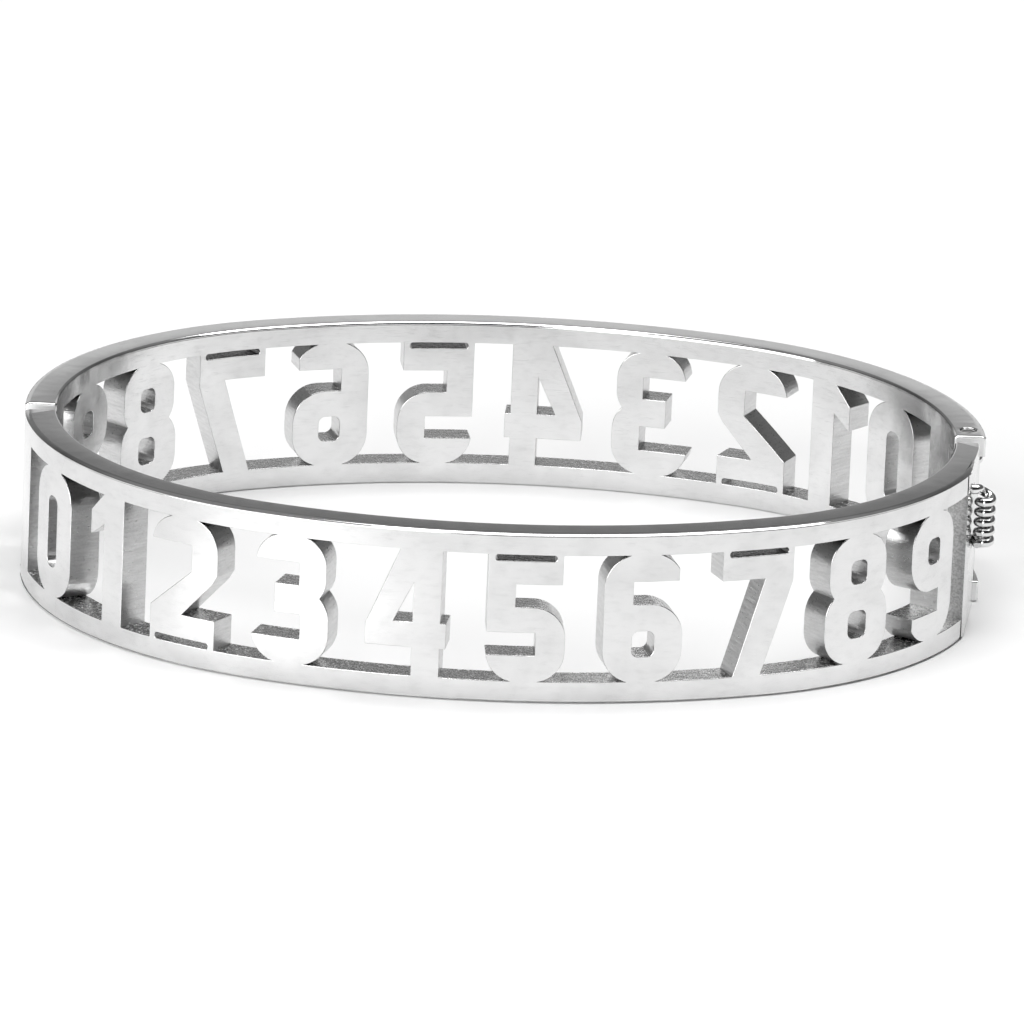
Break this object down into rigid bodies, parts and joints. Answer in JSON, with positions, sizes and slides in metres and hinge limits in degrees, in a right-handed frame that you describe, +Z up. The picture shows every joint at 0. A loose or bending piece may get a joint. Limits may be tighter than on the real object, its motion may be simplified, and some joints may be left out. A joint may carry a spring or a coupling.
{
  "type": "nameplate bracelet",
  "caption": "Rigid oval hinged bangle in two pierced metal halves, figures standing between plain rails, with a small coil spring at the hinge and a push-in tongue at the other seam.",
  "frame": {"origin": "centre of the oval band, on the flat surface its lower edge rests on", "axes": "+Z up along the band's axis, +X along the oval towards the hinge, -X towards the clasp, -Y towards the front half"},
  "size_m": [0.0672, 0.053, 0.012],
  "materials": {
    "band": "polished",
    "pin": "polished",
    "spring": "gloss",
    "tongue": "satin"
  },
  "bodies": {
    "back": {"back_band": "band", "hinge_pin": "pin"},
    "front": {"front_band": "band", "hinge_spring": "spring", "snap_tongue": "tongue"}
  },
  "joints": [
    {"name": "hinge", "type": "hinge", "parent": "back", "child": "front", "pos_m": [0.03213, 0.00175, 0.006], "axis": [0, 0, 1], "range_deg": [0, 28], "stiffness_Nm_per_rad": 0.02, "springref_deg": -11.46}
  ]
}
